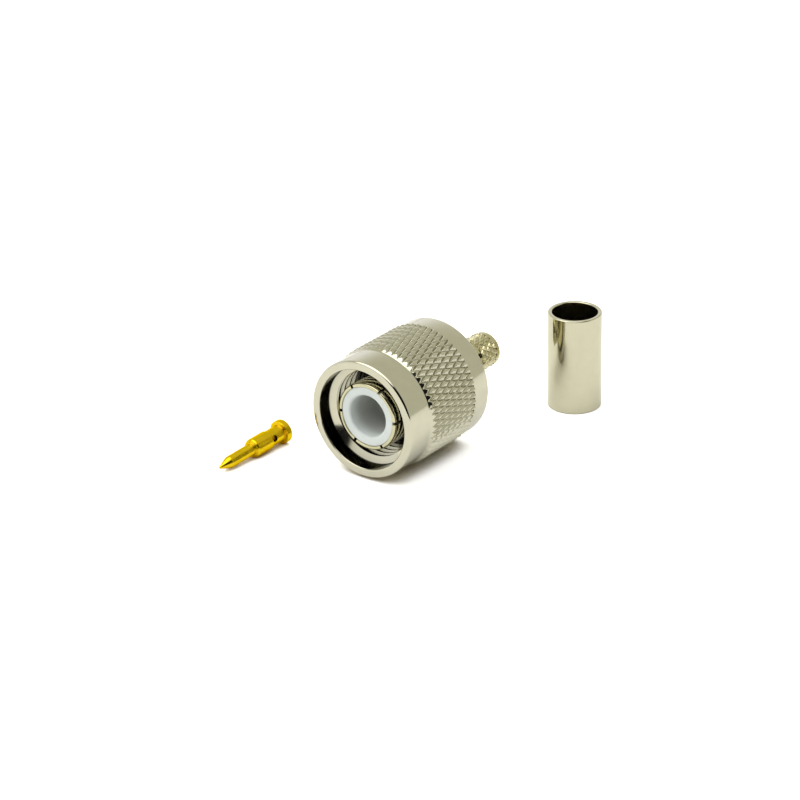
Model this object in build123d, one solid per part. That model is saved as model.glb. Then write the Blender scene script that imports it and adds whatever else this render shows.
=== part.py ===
from build123d import *
import math
import os

# A crimp plug for coaxial cable, laid out as it is shown: the plug lies on its
# coupling nut, its centre pin lies beside it and its crimp ferrule stands behind it.
# The plug's axis runs along Y and its open end faces -Y. The origin is the centre of
# the outer contact's front end, and the surface that all of it lies on is below.

# Outer contact, the slotted sleeve that enters the mating socket
contact_r = 4.05
contact_collar_r = 4.3
contact_reach = 6.3
slot_count = 6
slot_width = 0.45
slot_length = 5.5
first_slot_deg = 2.3
seam_to_slot_deg = 8
contact_edge = 0.12

# Insulator, seen inside the outer contact
insulator_r = 3.575
insulator_recess = 0.1
insulator_length = 10.2
socket_r = 2.5
socket_depth = 5.0
socket_lip = 0.3
pin_hole_r = 1.2

# Coupling nut, outside
nut_recess = 1.0
collar_r = 7.05
collar_length = 3.6
collar_edge = 0.3
knurl_crest_r = 7.35
knurl_depth = 0.3
knurl_teeth = 58
knurl_half_rows = 7
knurl_length = 7.9
knurl_bevel = 0.45
rear_band_r = 7.2
rear_band_length = 2.65
rear_band_edge = 0.25

# Coupling nut, inside
mouth_r = 6.02
mouth_depth = 1.9
mouth_edge = 0.15
thread_minor_r = 5.2
thread_depth = 0.356
thread_length = 7.0
cavity_r = 5.65
lip_length = 3.4
lip_edge = 0.2

# Main body, which the nut turns on
running_gap = 0.05
end_play = 0.2
journal_r = 4.45
journal_past_nut = 0.5
journal_edge = 0.2
flange_r = 4.9
flange_length = 2.4
contact_seat = 2.0
press_gap = 0.01

# Crimp stem at the back of the body
stem_r = 2.1
stem_bore_r = 1.55
stem_length = 9.0
stem_edge = 0.15
stem_foot = 0.3
stem_rim = 0.7
stem_knurl_crest_r = 2.17
stem_knurl_depth = 0.22
stem_knurl_teeth = 18
stem_knurl_half_rows = 5
stem_knurl_length = 2.8
stem_knurl_bevel = 0.1

# Retaining ring, an open spring ring in facing grooves of body and nut
ring_thickness = 0.7
ring_catch = 0.35
ring_opening = 1.6
ring_setback = 1.0
ring_side_gap = 0.1
body_groove_depth = 0.65
body_groove_gap = 0.1
nut_groove_gap = 0.3

# Gasket round the outer contact, against the flange
gasket_r = 4.9
gasket_thickness = 1.2

# Centre pin, lying on its rear flange and its barrel
pin_tip_r = 0.12
pin_cone_length = 1.6
pin_r = 0.675
pin_shaft_end = 5.2
barrel_nose_r = 0.9
barrel_nose = 0.4
barrel_r = 1.135
barrel_end = 8.0
neck_r = 1.0
neck_end = 9.8
pin_flange_r = 1.42
pin_flange_bevel = 0.35
pin_flange_edge = 0.15
pin_length = 10.95
wire_bore_r = 0.5
wire_bore_depth = 2.9
sight_hole_r = 0.32
sight_hole_at = 8.45
sight_hole_deg = 17.5
pin_tip_x = -14.04
pin_tip_y = -9.47
pin_heading_deg = 3.4

# Crimp ferrule, standing on its end
ferrule_r = 3.2
ferrule_bore_r = 2.7
ferrule_length = 11.9
ferrule_edge = 0.12
ferrule_x = 8.32
ferrule_y = 29.46

# Places worked out from the sizes
floor_z = -knurl_crest_r
nut_front = -nut_recess
knurl_front = nut_front + collar_length + knurl_bevel
knurl_rear = knurl_front + knurl_length
nut_rear = knurl_rear + rear_band_length
lip_front = nut_rear - lip_length
flange_rear = lip_front - end_play
flange_front = flange_rear - flange_length
ring_rear = nut_rear - ring_setback
ring_front = ring_rear - ring_thickness
lip_r = journal_r + running_gap
body_groove_r = journal_r - body_groove_depth
ring_inner_r = body_groove_r + body_groove_gap
ring_outer_r = lip_r + ring_catch
journal_rear = nut_rear + journal_past_nut
stem_rear = journal_rear + stem_length
insulator_rear = insulator_recess + insulator_length
contact_rear = flange_front + contact_seat
contact_bore_r = insulator_r + press_gap
seat_r = contact_collar_r + press_gap


def turned(outline):
    """A solid turned about the Y axis from its half outline of (radius, y) points."""
    return revolve(make_face(Polyline(*outline, close=True)), Axis.Y)


def ring_points(radii, y, turn):
    """Points spread evenly round the Y axis at y, their radii taken in turn."""
    step = 2 * math.pi / len(radii)
    angles = [(i + turn) * step for i in range(len(radii))]
    return [Vector(r * math.cos(a), y, r * math.sin(a)) for r, a in zip(radii, angles)]


def facets_between(front, rear, leaning):
    """Triangles that join two rings, each square split along one of its diagonals."""
    faces = []
    for i in range(len(front)):
        j = (i + 1) % len(front)
        if (i % 2 == 0) == leaning:
            corners = ((front[i], front[j], rear[j]), (front[i], rear[j], rear[i]))
        else:
            corners = ((front[i], front[j], rear[i]), (front[j], rear[j], rear[i]))
        faces += [Face(Wire.make_polygon(three)) for three in corners]
    return faces


def knurled_plug(crest_r, depth, teeth, half_rows, start, length, bevel, buried):
    """A round plug cut all over with a diamond knurl, bevelled down at both ends."""
    root_r = crest_r - depth
    end_r = root_r - depth * buried / bevel
    lowest = -teeth / 2 if half_rows % 2 else -teeth / 2 + 1
    rings = [ring_points([end_r] * 2 * teeth, start - bevel - buried, lowest)]
    for row in range(half_rows + 1):
        radii = [crest_r if (i + row) % 2 else root_r for i in range(2 * teeth)]
        rings.append(ring_points(radii, start + length * row / half_rows, lowest))
    rings.append(ring_points([end_r] * 2 * teeth, start + length + bevel + buried, lowest))
    faces = [Face(Wire.make_polygon(rings[0])), Face(Wire.make_polygon(rings[-1]))]
    for row, (front, rear) in enumerate(zip(rings, rings[1:])):
        faces += facets_between(front, rear, leaning=row % 2 == 0)
    return Solid(Shell(faces))


def coupling_nut():
    thread_front = nut_front + mouth_depth
    thread_rear = thread_front + thread_length
    groove_front = ring_front - ring_side_gap
    groove_rear = ring_rear + ring_side_gap
    groove_r = ring_outer_r + nut_groove_gap
    blank = turned([
        (0, nut_front),
        (collar_r - collar_edge, nut_front),
        (collar_r, nut_front + collar_edge),
        (collar_r, nut_front + collar_length),
        (collar_r - knurl_depth, nut_front + collar_length),
        (collar_r - knurl_depth, knurl_rear),
        (rear_band_r, knurl_rear),
        (rear_band_r, nut_rear - rear_band_edge),
        (rear_band_r - rear_band_edge, nut_rear),
        (0, nut_rear),
    ])
    knurl = knurled_plug(knurl_crest_r, knurl_depth, knurl_teeth, knurl_half_rows,
                         knurl_front, knurl_length, knurl_bevel, buried=0.2)
    hollow = turned([
        (0, nut_front),
        (mouth_r + mouth_edge, nut_front),
        (mouth_r, nut_front + mouth_edge),
        (mouth_r, thread_front),
        (thread_minor_r + thread_depth, thread_front),
        (thread_minor_r, thread_front + thread_depth),
        (thread_minor_r, thread_rear),
        (cavity_r, thread_rear),
        (cavity_r, lip_front),
        (lip_r, lip_front),
        (lip_r, groove_front),
        (groove_r, groove_front),
        (groove_r, groove_rear),
        (lip_r, groove_rear),
        (lip_r, nut_rear - lip_edge),
        (lip_r + lip_edge, nut_rear),
        (0, nut_rear),
    ])
    return blank + knurl - hollow


def outer_contact():
    """The sleeve, with its front half parted into spring fingers by the slots."""
    sleeve = turned([
        (contact_bore_r, 0),
        (contact_r - contact_edge, 0),
        (contact_r, contact_edge),
        (contact_r, contact_reach),
        (contact_collar_r, contact_reach),
        (contact_collar_r, contact_rear),
        (contact_bore_r, contact_rear),
    ])
    slot = Pos(contact_r, slot_length / 2, 0) * Box(contact_r, slot_length, slot_width)
    for i in range(slot_count):
        sleeve -= Rot(0, -seam_to_slot_deg - i * 360 / slot_count, 0) * slot
    return Rot(0, seam_to_slot_deg - first_slot_deg, 0) * sleeve


def insulator():
    """The white insulator: an open socket in front and the pin's hole behind it."""
    body = turned([
        (pin_hole_r, insulator_recess + socket_depth),
        (socket_r, insulator_recess + socket_depth),
        (socket_r, insulator_recess),
        (insulator_r, insulator_recess),
        (insulator_r, insulator_rear),
        (pin_hole_r, insulator_rear),
    ])
    lip = body.edges().filter_by(GeomType.CIRCLE).group_by(Axis.Y)[0].sort_by(SortBy.RADIUS)[0]
    return fillet(lip, socket_lip)


def main_body():
    """The turned body: seat, flange, journal for the nut, and the crimp stem."""
    groove_front = ring_front - running_gap
    groove_rear = ring_rear + running_gap
    knurl_end = stem_rear - stem_rim
    knurl_start = knurl_end - stem_knurl_length
    core_r = stem_r - stem_knurl_depth
    turning = turned([
        (0, flange_front),
        (flange_r, flange_front),
        (flange_r, flange_rear),
        (journal_r, flange_rear),
        (journal_r, groove_front),
        (body_groove_r, groove_front),
        (body_groove_r, groove_rear),
        (journal_r, groove_rear),
        (journal_r, journal_rear - journal_edge),
        (journal_r - journal_edge, journal_rear),
        (stem_r + stem_foot, journal_rear),
        (stem_r, journal_rear + stem_foot),
        (stem_r, knurl_start),
        (core_r, knurl_start),
        (core_r, knurl_end),
        (stem_r, knurl_end),
        (stem_r, stem_rear - stem_edge),
        (stem_r - stem_edge, stem_rear),
        (0, stem_rear),
    ])
    knurl = knurled_plug(stem_knurl_crest_r, stem_knurl_depth, stem_knurl_teeth,
                         stem_knurl_half_rows, knurl_start, stem_knurl_length,
                         stem_knurl_bevel, buried=0.05)
    hollow = turned([
        (0, flange_front),
        (seat_r, flange_front),
        (seat_r, contact_rear),
        (contact_bore_r, contact_rear),
        (contact_bore_r, insulator_rear),
        (stem_bore_r, insulator_rear),
        (stem_bore_r, stem_rear),
        (0, stem_rear),
    ])
    return turning + knurl - hollow


def retaining_ring():
    """The open ring that holds the nut on the body."""
    ring = turned([
        (ring_inner_r, ring_front),
        (ring_outer_r, ring_front),
        (ring_outer_r, ring_rear),
        (ring_inner_r, ring_rear),
    ])
    middle = (ring_front + ring_rear) / 2
    opening = Box(ring_opening, 2 * ring_thickness, ring_outer_r)
    return ring - Pos(0, middle, ring_outer_r) * opening


def gasket():
    """The rubber ring that the mating socket's rim presses on."""
    front = flange_front - gasket_thickness
    return turned([
        (seat_r, front),
        (gasket_r, front),
        (gasket_r, flange_front),
        (seat_r, flange_front),
    ])


def centre_pin():
    """The pin, turned along Y from its tip, then laid down on flange and barrel."""
    flange_at = neck_end + pin_flange_bevel
    barrel_at = pin_shaft_end + barrel_nose
    step = barrel_r - neck_r
    pin = turned([
        (0, 0),
        (pin_tip_r, 0),
        (pin_r, pin_cone_length),
        (pin_r, pin_shaft_end),
        (barrel_nose_r, pin_shaft_end),
        (barrel_r, barrel_at),
        (barrel_r, barrel_end),
        (neck_r, barrel_end + step),
        (neck_r, neck_end),
        (pin_flange_r, flange_at),
        (pin_flange_r, pin_length - pin_flange_edge),
        (pin_flange_r - pin_flange_edge, pin_length),
        (wire_bore_r, pin_length),
        (wire_bore_r, pin_length - wire_bore_depth),
        (0, pin_length - wire_bore_depth),
    ])
    drill = Pos(barrel_r / 2, 0, 0) * Rot(0, 90, 0) * Cylinder(sight_hole_r, barrel_r)
    pin -= Pos(0, sight_hole_at, 0) * Rot(0, -sight_hole_deg, 0) * drill
    rise = math.atan2(pin_flange_r - barrel_r, flange_at - barrel_at)
    tip_z = floor_z + pin_flange_r * math.cos(rise) - flange_at * math.sin(rise)
    heading = Rot(0, 0, -pin_heading_deg) * Rot(math.degrees(rise), 0, 0)
    return Pos(pin_tip_x, pin_tip_y, tip_z) * heading * pin


def crimp_ferrule():
    """The plain tube that is crimped over the cable's braid and the stem."""
    tube = Cylinder(ferrule_r, ferrule_length) - Cylinder(ferrule_bore_r, ferrule_length)
    tube = chamfer(tube.edges().filter_by(GeomType.CIRCLE), ferrule_edge)
    return Pos(ferrule_x, ferrule_y, floor_z + ferrule_length / 2) * tube


pieces = {
    "coupling_nut": coupling_nut(),
    "main_body": main_body(),
    "outer_contact": outer_contact(),
    "insulator": insulator(),
    "retaining_ring": retaining_ring(),
    "gasket": gasket(),
    "centre_pin": centre_pin(),
    "crimp_ferrule": crimp_ferrule(),
}
os.makedirs("parts", exist_ok=True)
for name, shape in pieces.items():
    export_step(shape, f"parts/{name}.step")
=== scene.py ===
import math

import bmesh
import bpy
import numpy as np
from mathutils import Matrix, Vector


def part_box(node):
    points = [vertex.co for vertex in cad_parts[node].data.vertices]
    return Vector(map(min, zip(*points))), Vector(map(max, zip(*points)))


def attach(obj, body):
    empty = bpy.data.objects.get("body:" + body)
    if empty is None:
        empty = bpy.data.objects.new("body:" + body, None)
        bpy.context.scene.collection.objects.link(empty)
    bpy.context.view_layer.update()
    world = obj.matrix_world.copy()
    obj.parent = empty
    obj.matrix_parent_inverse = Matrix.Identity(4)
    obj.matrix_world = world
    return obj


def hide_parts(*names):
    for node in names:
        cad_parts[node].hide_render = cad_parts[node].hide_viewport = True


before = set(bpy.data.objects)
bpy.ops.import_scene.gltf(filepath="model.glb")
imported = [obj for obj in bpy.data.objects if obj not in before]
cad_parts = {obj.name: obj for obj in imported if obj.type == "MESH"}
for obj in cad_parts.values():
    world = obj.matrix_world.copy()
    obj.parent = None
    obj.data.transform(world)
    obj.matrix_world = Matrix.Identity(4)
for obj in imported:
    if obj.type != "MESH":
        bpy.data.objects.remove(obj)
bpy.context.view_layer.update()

MM = 0.001

# The surface that everything lies on, and the places that the frame gives
nut_low, nut_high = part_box("coupling_nut")
body_low, body_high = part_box("main_body")
insulator_low, insulator_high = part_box("insulator")
contact_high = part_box("outer_contact")[1]
gasket_low, gasket_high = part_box("gasket")
ferrule_low, ferrule_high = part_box("crimp_ferrule")
floor_z = nut_low.z
nut_front, nut_rear = nut_low.y, nut_high.y
stem_rear = body_high.y

# How finely turned pieces are divided, and how their edges are kept or rounded
contact_sides = 180
insulator_sides = 160
gasket_sides = 120
pin_sides = 96
ferrule_sides = 160
sight_hole_sides = 40
arc_steps = 4
mouth_arc_steps = 5
socket_arc_steps = 8
sharp_from = math.radians(28)
socket_sharp_from = math.radians(40)
fine_round = 0.05 * MM
cut_round = 0.03 * MM
cut_round_steps = 2
cut_round_from = math.radians(50)
weld_distance = 1e-7
sliver_length = 1e-8

# Knurls, with their unevenness as a share of their depth
knurl_seed = 7
knurl_unevenness = 0.035

# Coupling nut, outside
knurl_crest_r = nut_high.z
knurl_teeth = 58
knurl_half_rows = 7.4
knurl_fineness = 10
knurl_flat = 0.3
knurl_depth = 0.23 * MM
knurl_bevel = 0.68 * MM
knurl_land = 0.2 * MM
knurl_run_in = 0.2 * MM
collar_r = 7.05 * MM
collar_length = 3.6 * MM
collar_round = 0.28 * MM
rear_band_r = 7.2 * MM
rear_band_length = 2.65 * MM
rear_band_round = 0.22 * MM

# Coupling nut, inside
mouth_r = 6.02 * MM
mouth_depth = 1.75 * MM
mouth_round = 0.12 * MM
lead_in_slope = 2.05
thread_minor_r = 5.2 * MM
thread_major_r = 5.556 * MM
thread_pitch = 25.4 / 28 * MM
thread_length = 6.8 * MM
thread_run_in_slope = 1.73
thread_crest_share = 0.22
thread_flank_share = 0.24
cavity_r = 5.65 * MM
lip_r = 4.5 * MM
lip_length = 3.4 * MM
lip_round = 0.2 * MM
groove_r = 5.15 * MM
groove_front = 1.8 * MM
groove_rear = 0.9 * MM

# Main body and its stem
journal_r = 4.45 * MM
journal_past_nut = 0.5 * MM
journal_round = 0.15 * MM
flange_r = 4.9 * MM
flange_rear_gap = 0.2 * MM
seat_r = 4.31 * MM
seat_depth = 2.0 * MM
body_bore_r = 3.585 * MM
stem_r = 2.1 * MM
stem_bore_r = 1.55 * MM
stem_rim = 0.7 * MM
stem_round = 0.16 * MM
stem_foot = 0.3 * MM
stem_crest_r = 2.17 * MM
stem_knurl_depth = 0.15 * MM
stem_knurl_flat = 0.3
stem_teeth = 18
stem_half_rows = 5
stem_fineness = 10
stem_knurl_length = 2.8 * MM

# Outer contact, whose front end lies at the frame's origin
contact_front = 0
contact_r = 4.05 * MM
contact_reach = 6.3 * MM
contact_round = 0.26 * MM
slot_count = 6
slot_width = 0.34 * MM
slot_length = 5.5 * MM
first_slot = math.radians(2.3)

# Insulator
socket_r = 2.5 * MM
socket_depth = 5.0 * MM
socket_lip = 0.3 * MM
# Depth into the socket from which its colour turns to painted shade
socket_painted_shade_from = 2.2 * MM
pin_hole_r = 1.2 * MM

# Centre pin, with its lengths measured from its tip
pin_tip_place = Vector((-14.04, -9.47, 0)) * MM
pin_heading = math.radians(3.4)
pin_tip_r = 0.12 * MM
pin_tip_round = 0.1 * MM
pin_r = 0.72 * MM
pin_cone_end = 1.6 * MM
pin_cone_round = 1.2 * MM
pin_shaft_end = 5.2 * MM
barrel_nose_r = 0.9 * MM
barrel_step_r = 1.03 * MM
barrel_step = 0.14 * MM
barrel_edge_round = 0.06 * MM
barrel_corner_round = 0.03 * MM
barrel_start = 5.65 * MM
barrel_start_round = 0.12 * MM
barrel_r = 1.135 * MM
barrel_end = 8.0 * MM
neck_r = 1.0 * MM
neck_start_round = 0.04 * MM
neck_end = 10.07 * MM
neck_end_round = 0.05 * MM
pin_flange_r = 1.42 * MM
pin_flange_start = 10.15 * MM
pin_flange_start_round = 0.06 * MM
pin_length = 10.95 * MM
pin_end_round = 0.15 * MM
wire_bore_r = 0.5 * MM
wire_bore_depth = 2.9 * MM
wire_bore_round = 0.06 * MM
sight_hole_r = 0.4 * MM
sight_hole_at = 8.45 * MM
sight_hole_depth = 1.2 * barrel_r
sight_hole_turn = math.radians(17.5)

# Crimp ferrule
ferrule_bore_r = 2.7 * MM
ferrule_round = 0.12 * MM

# Plating: its gloss, and the painted shade that darkens its colour in recesses and in the zones
# given here
nickel_roughness = (0.09, 0.12)
lathe_squeeze = 130
painted_shade_reach = 1.2 * MM
painted_shade_dark = 0.3
painted_shade_clear = 0.79
painted_shade_level = 0.1
deep_painted_shade_level = 0.06
mouth_painted_shade_level = 0.22
zone_fade = 0.05 * MM
# Zones of painted shade: deep in the nut's cavity, on the nut's mouth wall and down the outer
# contact
nut_cavity_painted_shade = dict(
    inner=-zone_fade,
    outer=cavity_r,
    start=4.5 * MM,
    end=5.1 * MM,
    level=deep_painted_shade_level,
)
mouth_wall_painted_shade = dict(
    inner=mouth_r - 2 * fine_round,
    outer=mouth_r,
    start=nut_front + mouth_round,
    end=nut_front + 2 * mouth_round,
    level=mouth_painted_shade_level,
)
contact_depths_painted_shade = dict(
    inner=-zone_fade,
    outer=2 * contact_r,
    start=0.8 * MM,
    end=2.6 * MM,
    level=deep_painted_shade_level,
)

# Part of a noise's range over which clouding and patches run
noise_low = 0.3
noise_high = 0.7

# Studio, with its sizes in metres and its levels as shares of white
floor_lift_seen = 0.65
floor_lift_mirrored = 0.2
floor_size = 6.0
# Painted contact shadow on the floor, set by how closed in each place is
painted_shadow_reach = 3.2 * MM
painted_shadow_dark = 0.18
painted_shadow_clear = 0.62
wall_level = 0.7
wall_warmth = 0.84
wall_colour = (wall_level, wall_level, wall_warmth * wall_level)
backdrop_colour = (1.1, 1.1, 1.1)
backdrop_way = (-1, 0, 0)
backdrop_edge = (-0.1, 0.25)
backdrop_low = 0.17
backdrop_high = 0.69
dark_side_way = (0.276, -0.961, 0)
dark_side_edge = (0.02, 0.12)
dark_side_limit = (0.992, -0.122, 0)
dark_side_limit_edge = (0.0, 0.1)
dark_side_colour = (0.012, 0.012, 0.012)
lamp_way = Vector((-0.1, -0.27, 0.96)).normalized()
lamp_distance = 0.55
lamp_half_angle = math.radians(36)
lamp_level = 1.85

# Camera, fitted to the photograph
camera_place = Vector((199.154, -254.051, 152.893)) * MM
camera_yaw = -0.6531
camera_pitch = 0.4372
camera_roll = -0.0182
camera_lens = 142.6
camera_sensor = 36.0
camera_clip_start = 0.01
camera_clip_end = 20


def rounded(corners, steps):
    """Outline points in (radius, y). A corner with a third value becomes an arc of that radius."""
    points = []
    for k, corner in enumerate(corners):
        here = np.array(corner[:2])
        if len(corner) == 2:
            points.append(tuple(here))
            continue
        radius = corner[2]
        back = np.array(corners[k - 1][:2]) - here
        ahead = np.array(corners[(k + 1) % len(corners)][:2]) - here
        back_way = back / np.linalg.norm(back)
        ahead_way = ahead / np.linalg.norm(ahead)
        half = math.acos(np.clip(back_way @ ahead_way, -1, 1)) / 2
        middle_way = (back_way + ahead_way) / np.linalg.norm(back_way + ahead_way)
        centre = here + middle_way * radius / math.sin(half)
        start = here + back_way * radius / math.tan(half) - centre
        end = here + ahead_way * radius / math.tan(half) - centre
        for share in np.linspace(0, 1, steps + 1):
            spoke = start * (1 - share) + end * share
            points.append(tuple(centre + spoke / np.linalg.norm(spoke) * radius))
    return points


class Turning:
    """Collects rings of points about the Y axis, joined into the skin of a turned piece.

    A ring's offset, in steps, turns it so that its points can lie between those of its neighbours.
    """

    def __init__(self, count):
        self.count = count
        self.points = []
        self.faces = []
        self.last = None

    def angles(self, offset=0.0):
        """Angles of a ring's points, from straight down."""
        return (np.arange(self.count) + offset) * 2 * math.pi / self.count - math.pi / 2

    def add_points(self, radii, ys, offset=0.0):
        """Adds a ring's points and gives the number of its first one."""
        angles = self.angles(offset)
        radii = np.broadcast_to(radii, self.count)
        ys = np.broadcast_to(ys, self.count)
        first = len(self.points)
        points = np.stack([radii * np.cos(angles), ys, radii * np.sin(angles)], axis=1)
        self.points += points.tolist()
        return first

    def ring(self, radii, ys, offset=0.0):
        """Adds a ring and joins it to the one before it."""
        first = self.add_points(radii, ys, offset)
        if self.last is not None:
            self.join(*self.last, first, offset)
        self.last = (first, offset)

    def join(self, a, a_offset, b, b_offset):
        """Adds the faces between two rings, given by their first points and offsets."""
        for i in range(self.count):
            j = (i + 1) % self.count
            if a_offset == b_offset:
                self.faces.append((a + i, a + j, b + j, b + i))
            elif a_offset < b_offset:
                self.faces += [(a + i, a + j, b + i), (a + j, b + j, b + i)]
            else:
                self.faces += [(a + i, b + j, b + i), (a + i, a + j, b + j)]

    def outline(self, corners, offset=0.0, steps=arc_steps):
        for radius, y in rounded(corners, steps):
            self.ring(radius, y, offset)

    def close(self):
        """Joins the last ring to the first."""
        self.join(*self.last, 0, 0.0)


def add_object(name, data):
    thing = bpy.data.objects.new(name, data)
    bpy.context.scene.collection.objects.link(thing)
    return thing


def finish_shading(mesh, sharp=sharp_from):
    """Smooth shading that breaks at edges sharper than an angle."""
    mesh.shade_smooth()
    mesh.set_sharp_from_angle(angle=sharp)


def make_piece(name, turning, sharp=sharp_from, place=Matrix()):
    """A mesh object from a turning, welded, facing outwards and smooth but for its edges."""
    mesh = bpy.data.meshes.new(name)
    mesh.from_pydata(turning.points, [], turning.faces)
    work = bmesh.new()
    work.from_mesh(mesh)
    bmesh.ops.remove_doubles(work, verts=work.verts, dist=weld_distance)
    bmesh.ops.dissolve_degenerate(work, edges=work.edges, dist=sliver_length)
    bmesh.ops.recalc_face_normals(work, faces=work.faces)
    work.to_mesh(mesh)
    work.free()
    finish_shading(mesh, sharp)
    mesh.transform(place)
    return add_object(name, mesh)


def make_cutter(name, work):
    """An object that only cuts, from what a bmesh holds."""
    mesh = bpy.data.meshes.new(name)
    work.to_mesh(mesh)
    work.free()
    return add_object(name, mesh)


def cut_away(piece, cutters):
    """Takes the cutters out of a piece, then rounds what edges are left."""
    for cutter in cutters:
        change = piece.modifiers.new(cutter.name, "BOOLEAN")
        change.operation = "DIFFERENCE"
        change.solver = "EXACT"
        change.object = cutter
    depsgraph = bpy.context.evaluated_depsgraph_get()
    mesh = bpy.data.meshes.new_from_object(piece.evaluated_get(depsgraph))
    piece.modifiers.clear()
    piece.data = mesh
    for cutter in cutters:
        bpy.data.objects.remove(cutter)
    bevel = piece.modifiers.new("edges", "BEVEL")
    bevel.width = cut_round
    bevel.segments = cut_round_steps
    bevel.limit_method = "ANGLE"
    bevel.angle_limit = cut_round_from
    finish_shading(mesh)


def knurl_radius(crest, depth, flat, turns, rows):
    """Radius of a diamond knurl at a place counted in teeth round it and half rows along it.

    Its grooves cross at whole turns on even rows, and halfway between on odd ones.
    A share of each tooth, flat, stays at the crest's radius.
    """
    ways = (turns + rows / 2, turns - rows / 2)
    nearest = np.minimum(*(np.abs(across - np.round(across)) for across in ways))
    rise = np.clip(nearest / (0.5 - flat / 2), 0, 1)
    return crest - depth * (1 - rise)


def add_knurl(turning, crest, depth, flat, half_rows, fineness, front, rear, base=0.0, bevel=0.0):
    """Rings of a diamond knurl that rises from a cone, on a grid that follows its grooves.

    It gives the offset of its last ring.
    """
    random = np.random.default_rng(knurl_seed)
    last = 2 * round(half_rows * fineness / 2)
    for m in range(last + 1):
        y = front + (rear - front) * m / last
        offset = 0.5 * (m % 2)
        turns = (np.arange(turning.count) + offset) / fineness
        radii = knurl_radius(crest, depth, flat, turns, 1 - half_rows * (1 - m / last))
        radii = radii - knurl_unevenness * depth * random.random(turning.count)
        if y < front + bevel:
            cone = base + (crest - base) * (y - front) / bevel
            cut = np.clip((y - front - knurl_land) / knurl_run_in, 0, 1)
            radii = cone - (cone - np.minimum(radii, cone)) * cut
        turning.ring(radii, y, offset)
    return offset


def thread_radius(angles, y, front):
    """Radius of the right-handed inside thread, whose grooves run in after the lead-in cone."""
    phase = ((y - front) / thread_pitch + angles / (2 * math.pi)) % 1
    from_root = np.abs(phase - 0.5)
    root_half = (1 - thread_crest_share) / 2 - thread_flank_share
    rise = np.clip((from_root - root_half) / thread_flank_share, 0, 1)
    radii = thread_major_r - (thread_major_r - thread_minor_r) * rise
    return np.minimum(radii, thread_minor_r + (y - front) * thread_run_in_slope)


def add_thread(turning, front, length):
    """Rows that follow the corners of the thread's profile round its helix.

    They are held back to the thread's two ends, and each row's last point meets the first point
    of the row one pitch before it.
    """
    angles = turning.angles()
    share = np.arange(turning.count) / turning.count
    first_phase = angles[0] / (2 * math.pi)
    crest_half = thread_crest_share / 2
    corners = sorted(
        (side * apart - first_phase) % 1
        for apart in (crest_half, crest_half + thread_flank_share)
        for side in (1, -1)
    )
    turn_count = math.ceil(length / thread_pitch) + 1
    row_turns = [turn + corner for turn in range(turn_count) for corner in corners]
    starts = [turning.add_points(thread_radius(angles, front, front), front)]
    for turns in row_turns:
        y = front + np.clip((turns - share) * thread_pitch, 0, length)
        starts.append(turning.add_points(thread_radius(angles, y, front), y))
    last = turning.count - 1
    for row in range(len(row_turns)):
        a, b = starts[row], starts[row + 1]
        for i in range(last):
            turning.faces.append((a + i, a + i + 1, b + i + 1, b + i))
        a_next = starts[max(row - len(corners), 0)]
        b_next = starts[max(row + 1 - len(corners), 0)]
        turning.faces.append((a + last, a_next, b_next, b + last))


def coupling_nut():
    turning = Turning(knurl_teeth * knurl_fineness)
    thread_front = nut_front + mouth_depth + (mouth_r - thread_minor_r) / lead_in_slope
    thread_rear = thread_front + thread_length
    knurl_front = nut_front + collar_length
    knurl_rear = nut_rear - rear_band_length
    lip_front = nut_rear - lip_length
    turning.outline([
        (thread_minor_r, thread_front),
        (mouth_r, nut_front + mouth_depth, fine_round),
        (mouth_r, nut_front, mouth_round),
        (collar_r, nut_front, collar_round),
        (collar_r, knurl_front - fine_round),
        (collar_r, knurl_front),
    ], steps=mouth_arc_steps)
    offset = add_knurl(turning, knurl_crest_r, knurl_depth, knurl_flat, knurl_half_rows,
                       knurl_fineness, knurl_front, knurl_rear, collar_r, knurl_bevel)
    turning.outline([
        (rear_band_r, knurl_rear),
        (rear_band_r, nut_rear, rear_band_round),
        (lip_r + lip_round, nut_rear),
    ], offset)
    turning.outline([
        (lip_r, nut_rear - lip_round),
        (lip_r, nut_rear - groove_rear),
        (groove_r, nut_rear - groove_rear),
        (groove_r, nut_rear - groove_front),
        (lip_r, nut_rear - groove_front),
        (lip_r, lip_front),
        (cavity_r, lip_front),
        (cavity_r, thread_rear),
    ])
    turning.ring(thread_radius(turning.angles(), thread_rear, thread_front), thread_rear)
    add_thread(turning, thread_front, thread_length)
    return make_piece("nut_knurled", turning)


def main_body():
    turning = Turning(stem_teeth * stem_fineness)
    flange_rear = nut_rear - lip_length - flange_rear_gap
    flange_front = body_low.y
    journal_rear = nut_rear + journal_past_nut
    knurl_rear = stem_rear - stem_rim
    knurl_front = knurl_rear - stem_knurl_length
    turning.outline([
        (body_bore_r, flange_front + seat_depth),
        (seat_r, flange_front + seat_depth),
        (seat_r, flange_front),
        (flange_r, flange_front, fine_round),
        (flange_r, flange_rear),
        (journal_r, flange_rear),
        (journal_r, journal_rear, journal_round),
        (stem_r, journal_rear, stem_foot),
        (stem_r, knurl_front),
    ])
    offset = add_knurl(turning, stem_crest_r, stem_knurl_depth, stem_knurl_flat, stem_half_rows,
                       stem_fineness, knurl_front, knurl_rear)
    turning.outline([
        (stem_r, knurl_rear),
        (stem_r, stem_rear, stem_round),
        (stem_bore_r, stem_rear, stem_round),
        (stem_bore_r, insulator_high.y),
    ], offset)
    turning.outline([
        (body_bore_r, insulator_high.y),
        (body_bore_r, flange_front + seat_depth),
    ])
    return make_piece("body_with_stem", turning)


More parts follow.
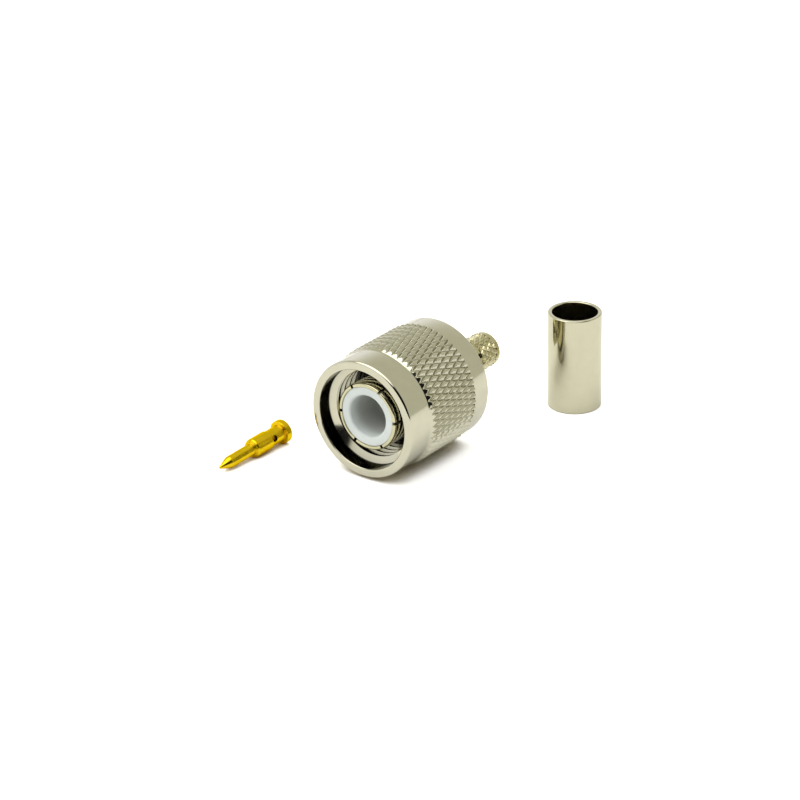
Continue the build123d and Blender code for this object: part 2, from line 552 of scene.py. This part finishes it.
def outer_contact():
    turning = Turning(contact_sides)
    turning.outline([
        (body_bore_r, contact_front, fine_round),
        (contact_r, contact_front, contact_round),
        (contact_r, contact_reach),
        (contact_high.x, contact_reach),
        (contact_high.x, contact_high.y),
        (body_bore_r, contact_high.y),
    ])
    turning.close()
    piece = make_piece("contact_fingers", turning)
    size = (contact_r, slot_length + 2 * slot_width, slot_width)
    middle = Matrix.Translation((contact_r, slot_length / 2 - slot_width, 0))
    shape = middle @ Matrix.Diagonal((*size, 1.0))
    cutters = []
    for k in range(slot_count):
        turn = Matrix.Rotation(-first_slot - k * 2 * math.pi / slot_count, 4, "Y")
        work = bmesh.new()
        bmesh.ops.create_cube(work, size=1.0, matrix=turn @ shape)
        cutters.append(make_cutter(f"slot_{k}", work))
    cut_away(piece, cutters)
    return piece


def insulator():
    turning = Turning(insulator_sides)
    face, rear = insulator_low.y, insulator_high.y
    turning.outline([
        (pin_hole_r, face + socket_depth, fine_round),
        (socket_r, face + socket_depth, socket_lip),
        (socket_r, face, socket_lip),
        (insulator_high.x, face, 2 * fine_round),
        (insulator_high.x, rear),
        (pin_hole_r, rear),
    ], steps=socket_arc_steps)
    turning.close()
    return make_piece("insulator_white", turning, socket_sharp_from)


def gasket():
    turning = Turning(gasket_sides)
    turning.outline([
        (seat_r, gasket_low.y, 2 * fine_round),
        (gasket_high.x, gasket_low.y, 2 * fine_round),
        (gasket_high.x, gasket_high.y),
        (seat_r, gasket_high.y),
    ])
    turning.close()
    return make_piece("gasket_round", turning)


def centre_pin():
    """The pin lying on its barrel and flange, with the sight hole cut into its barrel."""
    turning = Turning(pin_sides)
    turning.outline([
        (0, 0),
        (pin_tip_r, 0, pin_tip_round),
        (pin_r, pin_cone_end, pin_cone_round),
        (pin_r, pin_shaft_end, barrel_edge_round),
        (barrel_nose_r, pin_shaft_end, barrel_edge_round),
        (barrel_nose_r, pin_shaft_end + barrel_step, barrel_corner_round),
        (barrel_step_r, pin_shaft_end + barrel_step, barrel_edge_round),
        (barrel_step_r, barrel_start - barrel_step, barrel_corner_round),
        (barrel_r, barrel_start, barrel_start_round),
        (barrel_r, barrel_end, neck_start_round),
        (neck_r, barrel_end + barrel_r - neck_r, neck_start_round),
        (neck_r, neck_end, neck_end_round),
        (pin_flange_r, pin_flange_start, pin_flange_start_round),
        (pin_flange_r, pin_length, pin_end_round),
        (wire_bore_r, pin_length, wire_bore_round),
        (wire_bore_r, pin_length - wire_bore_depth),
        (0, pin_length - wire_bore_depth),
    ])
    rise = math.atan2(pin_flange_r - barrel_r, pin_flange_start - barrel_start)
    tip_height = pin_flange_r * math.cos(rise) - pin_flange_start * math.sin(rise)
    place = Matrix.Translation(pin_tip_place + Vector((0, 0, floor_z + tip_height)))
    place = place @ Matrix.Rotation(-pin_heading, 4, "Z") @ Matrix.Rotation(rise, 4, "X")
    piece = make_piece("pin_gold", turning, place=place)
    turn = Matrix.Rotation(-sight_hole_turn, 4, "Y")
    aim = turn @ Matrix.Translation((barrel_r / 2, 0, 0)) @ Matrix.Rotation(math.pi / 2, 4, "Y")
    work = bmesh.new()
    bmesh.ops.create_cone(
        work, cap_ends=True, segments=sight_hole_sides, radius1=sight_hole_r,
        radius2=sight_hole_r, depth=sight_hole_depth,
        matrix=place @ Matrix.Translation((0, sight_hole_at, 0)) @ aim,
    )
    cut_away(piece, [make_cutter("sight_hole", work)])
    return piece


def crimp_ferrule():
    turning = Turning(ferrule_sides)
    outer_r = (ferrule_high.x - ferrule_low.x) / 2
    length = ferrule_high.z - ferrule_low.z
    turning.outline([
        (ferrule_bore_r, 0, ferrule_round),
        (outer_r, 0, ferrule_round),
        (outer_r, length, ferrule_round),
        (ferrule_bore_r, length, ferrule_round),
    ])
    turning.close()
    middle = (ferrule_low + ferrule_high) / 2
    upright = Matrix.Rotation(math.pi / 2, 4, "X")
    place = Matrix.Translation((middle.x, middle.y, floor_z)) @ upright
    return make_piece("ferrule_tube", turning, place=place)


class Nodes:
    """Short ways to add and link the nodes of a material or of the world."""

    def __init__(self, tree):
        self.tree = tree

    def add(self, kind, **values):
        node = self.tree.nodes.new(kind)
        for name, value in values.items():
            setattr(node, name, value)
        return node

    def feed(self, value, socket):
        """Links a node's output into a socket, or sets the socket to a plain number or colour."""
        if isinstance(value, bpy.types.NodeSocket):
            self.tree.links.new(value, socket)
        elif isinstance(value, tuple):
            socket.default_value = (*value, 1)
        else:
            socket.default_value = value

    def own_place(self, scale=(1, 1, 1)):
        """The piece's own coordinates, stretched by scale along each axis."""
        place = self.add("ShaderNodeTexCoord")
        mapping = self.add("ShaderNodeMapping")
        mapping.inputs["Scale"].default_value = scale
        self.feed(place.outputs["Object"], mapping.inputs["Vector"])
        return mapping.outputs["Vector"]

    def along_y(self):
        """How far along the Y axis a place lies."""
        split = self.add("ShaderNodeSeparateXYZ")
        self.feed(self.own_place(), split.inputs[0])
        return split.outputs["Y"]

    def from_y(self):
        """How far from the Y axis a place lies."""
        length = self.add("ShaderNodeVectorMath", operation="LENGTH")
        self.feed(self.own_place((1, 0, 1)), length.inputs[0])
        return length.outputs["Value"]

    def noise(self, scale, detail, stretch=(1, 1, 1)):
        """A noise with scale cells to the metre."""
        noise = self.add("ShaderNodeTexNoise")
        noise.inputs["Scale"].default_value = scale
        noise.inputs["Detail"].default_value = detail
        self.feed(self.own_place(stretch), noise.inputs["Vector"])
        return noise.outputs["Fac"]

    def openness(self, reach, **values):
        """1 in the open, and less where the surroundings close in within reach."""
        opening = self.add("ShaderNodeAmbientOcclusion", **values)
        opening.inputs["Distance"].default_value = reach
        return opening.outputs["AO"]

    def ramp(self, value, start, end, low=0, high=1, smooth=False):
        """A number that runs from low to high as value runs from start to end."""
        ramp = self.add("ShaderNodeMapRange")
        if smooth:
            ramp.interpolation_type = "SMOOTHSTEP"
        ramp.inputs["From Min"].default_value = start
        ramp.inputs["From Max"].default_value = end
        ramp.inputs["To Min"].default_value = low
        ramp.inputs["To Max"].default_value = high
        self.feed(value, ramp.inputs["Value"])
        return ramp.outputs["Result"]

    def spread(self, noise, low=0, high=1):
        """A number that runs from low to high as a noise runs over its middle range."""
        return self.ramp(noise, noise_low, noise_high, low, high)

    def calculate(self, operation, first, second):
        node = self.add("ShaderNodeMath", operation=operation)
        self.feed(first, node.inputs[0])
        self.feed(second, node.inputs[1])
        return node.outputs[0]

    def mixed(self, share, first, second):
        """The first colour where share is 0, and the second where it is 1."""
        mix = self.add("ShaderNodeMix", data_type="RGBA")
        self.feed(share, mix.inputs["Factor"])
        self.feed(first, mix.inputs["A"])
        self.feed(second, mix.inputs["B"])
        return mix.outputs["Result"]

    def zone(self, inner, outer, start, end, level):
        """1 outside a zone and level in it.

        The zone lies between two distances from the Y axis, and sets in from start to end along it.
        """
        from_axis = self.from_y()
        beyond = self.ramp(from_axis, inner, inner + zone_fade)
        within = self.ramp(from_axis, outer, outer + zone_fade, 1 - level, 0)
        far = self.ramp(self.along_y(), start, end)
        both = self.calculate("MULTIPLY", beyond, within)
        return self.calculate("SUBTRACT", 1, self.calculate("MULTIPLY", far, both))

    def towards(self, way, start, end):
        """A number that rises from 0 to 1 as the direction looked in turns towards a way."""
        place = self.add("ShaderNodeTexCoord")
        dot = self.add("ShaderNodeVectorMath", operation="DOT_PRODUCT")
        dot.inputs[1].default_value = way
        self.feed(place.outputs["Generated"], dot.inputs[0])
        return self.ramp(dot.outputs["Value"], start, end, smooth=True)

    def bump(self, height, shader, strength, distance):
        bump = self.add("ShaderNodeBump")
        bump.inputs["Strength"].default_value = strength
        bump.inputs["Distance"].default_value = distance
        self.feed(height, bump.inputs["Height"])
        self.feed(bump.outputs["Normal"], shader.inputs["Normal"])


def new_material(name):
    """A material, the helper for its nodes and its shader."""
    material = bpy.data.materials.new(name)
    material.use_nodes = True
    nodes = Nodes(material.node_tree)
    return material, nodes, nodes.tree.nodes["Principled BSDF"]


def plated(name, first, second, roughness, lathe=(1, lathe_squeeze, 1), edge=(1, 1, 1),
           painted_recess_shade=painted_shade_level, painted_shade_zones=()):
    """Plating over turned metal, clouded between two colours, with fine lathe lines.

    Its colour is darkened by painted shade in recesses, down to the painted recess shade level, and
    in its painted shade zones.
    """
    material, nodes, shader = new_material(name)
    shader.inputs["Metallic"].default_value = 1
    nodes.feed(edge, shader.inputs["Specular Tint"])
    clean = nodes.mixed(nodes.spread(nodes.noise(scale=900, detail=4)), first, second)
    # Painted shade: the colour darkens where the surface is closed in, and in the painted shade
    # zones
    opening = nodes.openness(painted_shade_reach, samples=4, only_local=True)
    level = nodes.ramp(opening, painted_shade_dark, painted_shade_clear, painted_recess_shade, 1)
    for zone in painted_shade_zones:
        level = nodes.calculate("MULTIPLY", level, nodes.zone(**zone))
    nodes.feed(nodes.mixed(level, (0, 0, 0), clean), shader.inputs["Base Color"])
    patches = nodes.noise(scale=2500, detail=5)
    nodes.feed(nodes.spread(patches, *roughness), shader.inputs["Roughness"])
    lines = nodes.noise(scale=60, detail=2, stretch=lathe)
    nodes.bump(lines, shader, strength=0.3, distance=0.001 * MM)
    return material


def white_insulator():
    """Waxy white plastic with a little light going into it, with painted shade that darkens it down
    in the socket.
    """
    material, nodes, shader = new_material("insulator_white")
    # Painted shade: the colour darkens from just inside the socket's lip down into the socket
    socket_painted_shade_colour = (0.55, 0.56, 0.54)
    clouds = nodes.spread(nodes.noise(scale=500, detail=3))
    face = nodes.mixed(clouds, (0.77, 0.82, 0.81), (0.81, 0.86, 0.85))
    front = insulator_low.y
    clear_of_painted_shade = nodes.ramp(nodes.along_y(), front + socket_lip, front + socket_painted_shade_from,
                         low=1, high=0, smooth=True)
    nodes.feed(nodes.mixed(clear_of_painted_shade, socket_painted_shade_colour, face), shader.inputs["Base Color"])
    shader.inputs["Roughness"].default_value = 0.42
    shader.inputs["Subsurface Weight"].default_value = 0.1
    shader.inputs["Subsurface Radius"].default_value = (1.0, 1.0, 1.1)
    shader.inputs["Subsurface Scale"].default_value = 0.4 * MM
    lines = nodes.noise(scale=200, detail=2, stretch=(1, 60, 1))
    nodes.bump(lines, shader, strength=0.2, distance=0.004 * MM)
    return material


def dark_rubber():
    material, nodes, shader = new_material("gasket_rubber")
    clouds = nodes.spread(nodes.noise(scale=1500, detail=4))
    colour = nodes.mixed(clouds, (0.02, 0.02, 0.022), (0.035, 0.034, 0.033))
    nodes.feed(colour, shader.inputs["Base Color"])
    shader.inputs["Roughness"].default_value = 0.7
    grain = nodes.noise(scale=6000, detail=2)
    nodes.bump(grain, shader, strength=0.3, distance=0.004 * MM)
    return material


def floor_material():
    """Near-white paper, lifted towards white where it is seen or mirrored. Where the object closes
    in, the lift fades and the paper turns warm: a painted contact shadow with a painted warm tint.
    """
    material, nodes, shader = new_material("floor_paper")
    nodes.tree.nodes.remove(shader)
    paper = nodes.add("ShaderNodeBsdfDiffuse")
    lift = nodes.add("ShaderNodeEmission")
    rays = nodes.add("ShaderNodeLightPath").outputs
    mirrored = nodes.calculate("MAXIMUM", rays["Is Glossy Ray"], rays["Is Transmission Ray"])
    mirrored = nodes.calculate("MULTIPLY", mirrored, floor_lift_mirrored)
    seen = nodes.calculate("MULTIPLY", rays["Is Camera Ray"], floor_lift_seen)
    # Painted contact shadow: the lift fades where the object closes in
    clear = nodes.ramp(nodes.openness(painted_shadow_reach), painted_shadow_dark, painted_shadow_clear, smooth=True)
    # Painted shadow tint: the paper turns warm where the object closes in
    colour = nodes.mixed(clear, (0.9, 0.83, 0.7), (0.9, 0.9, 0.9))
    nodes.feed(colour, paper.inputs["Color"])
    level = nodes.calculate("MULTIPLY", nodes.calculate("ADD", seen, mirrored), clear)
    nodes.feed(level, lift.inputs["Strength"])
    both = nodes.add("ShaderNodeAddShader")
    nodes.feed(paper.outputs[0], both.inputs[0])
    nodes.feed(lift.outputs[0], both.inputs[1])
    nodes.feed(both.outputs[0], nodes.tree.nodes["Material Output"].inputs["Surface"])
    return material


def walls():
    """Even walls, a paler low backdrop behind the object and to its left, and a dark side in front.

    They light the object and show in its plating. The camera sees plain white instead.
    """
    world = bpy.data.worlds.new("walls")
    world.use_nodes = True
    nodes = Nodes(world.node_tree)
    low = nodes.towards((0, 0, 1), backdrop_high, backdrop_low)
    left = nodes.towards(backdrop_way, *backdrop_edge)
    backdrop = nodes.calculate("MULTIPLY", low, left)
    colour = nodes.mixed(backdrop, wall_colour, backdrop_colour)
    in_front = nodes.towards(dark_side_way, *dark_side_edge)
    within_limit = nodes.towards(dark_side_limit, *dark_side_limit_edge)
    dark_side = nodes.calculate("MULTIPLY", in_front, within_limit)
    colour = nodes.mixed(dark_side, colour, dark_side_colour)
    rays = nodes.add("ShaderNodeLightPath").outputs
    colour = nodes.mixed(rays["Is Camera Ray"], colour, (1, 1, 1))
    nodes.feed(colour, nodes.tree.nodes["Background"].inputs["Color"])
    return world


def floor():
    half = floor_size / 2
    corners = [(-half, -half, 0), (half, -half, 0), (half, half, 0), (-half, half, 0)]
    mesh = bpy.data.meshes.new("floor")
    mesh.from_pydata(corners, [], [(0, 1, 2, 3)])
    mesh.materials.append(floor_material())
    card = add_object("floor", mesh)
    card.matrix_world = Matrix.Translation((0, 0, floor_z))


def studio():
    """Pale floor, even walls and one soft light above the object, towards its front."""
    floor()
    bpy.context.scene.world = walls()
    radius = lamp_distance * math.tan(lamp_half_angle)
    lamp = bpy.data.lights.new("soft_light", "AREA")
    lamp.shape = "DISK"
    lamp.size = 2 * radius
    lamp.energy = lamp_level * math.pi ** 2 * radius ** 2
    aim = lamp_way.to_track_quat("Z", "Y").to_matrix().to_4x4()
    holder = add_object("soft_light", lamp)
    holder.matrix_world = Matrix.Translation(lamp_way * lamp_distance) @ aim


def camera():
    ahead = math.cos(camera_pitch)
    forward = Vector((
        math.sin(camera_yaw) * ahead,
        math.cos(camera_yaw) * ahead,
        -math.sin(camera_pitch),
    ))
    level = Vector((math.cos(camera_yaw), -math.sin(camera_yaw), 0))
    upward = level.cross(forward)
    right = level * math.cos(camera_roll) + upward * math.sin(camera_roll)
    top = upward * math.cos(camera_roll) - level * math.sin(camera_roll)
    axes = Matrix((right, top, -forward)).transposed().to_4x4()
    data = bpy.data.cameras.new("camera")
    data.lens = camera_lens
    data.sensor_width = camera_sensor
    data.clip_start = camera_clip_start
    data.clip_end = camera_clip_end
    holder = add_object("camera", data)
    holder.matrix_world = Matrix.Translation(camera_place) @ axes
    bpy.context.scene.camera = holder


# Each plating paints shade into its colour in recesses; the nut and the contact also paint shade
# into their zones
nickel = plated("nickel", (0.56, 0.54, 0.425), (0.59, 0.565, 0.445), nickel_roughness,
                painted_shade_zones=(nut_cavity_painted_shade, mouth_wall_painted_shade))
upright_nickel = plated("upright_nickel", (0.56, 0.535, 0.395), (0.59, 0.56, 0.415),
                        nickel_roughness, lathe=(1, 1, lathe_squeeze))
warm_nickel = plated("warm_nickel", (0.55, 0.505, 0.3), (0.58, 0.53, 0.32), nickel_roughness)
contact_nickel = plated("contact_nickel", (0.56, 0.53, 0.35), (0.59, 0.555, 0.37),
                        nickel_roughness, painted_shade_zones=(contact_depths_painted_shade,))
gold = plated("gold", (0.73, 0.495, 0.01), (0.78, 0.53, 0.014), (0.22, 0.28),
              edge=(1, 0.85, 0.3), painted_recess_shade=0.7)
bronze = plated("bronze", (0.5, 0.33, 0.16), (0.56, 0.38, 0.2), (0.3, 0.4))

dressed = (
    (coupling_nut(), "coupling_nut", "nut", nickel, "nickel_nut"),
    (main_body(), "main_body", "plug", warm_nickel, "nickel_body"),
    (outer_contact(), "outer_contact", "plug", contact_nickel, "nickel_contact"),
    (insulator(), "insulator", "plug", white_insulator(), "insulator_white"),
    (gasket(), "gasket", "plug", dark_rubber(), "gasket_rubber"),
    (centre_pin(), "centre_pin", "plug", gold, "gold_pin"),
    (crimp_ferrule(), "crimp_ferrule", "plug", upright_nickel, "nickel_ferrule"),
)
for piece, node, body, material, slot in dressed:
    piece.data.materials.clear()
    piece.data.materials.append(material)
    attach(piece, body)
    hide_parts(node)
ring_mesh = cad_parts["retaining_ring"].data
ring_mesh.materials.clear()
ring_mesh.materials.append(bronze)

studio()
camera()
bpy.context.scene.view_settings.view_transform = "Standard"
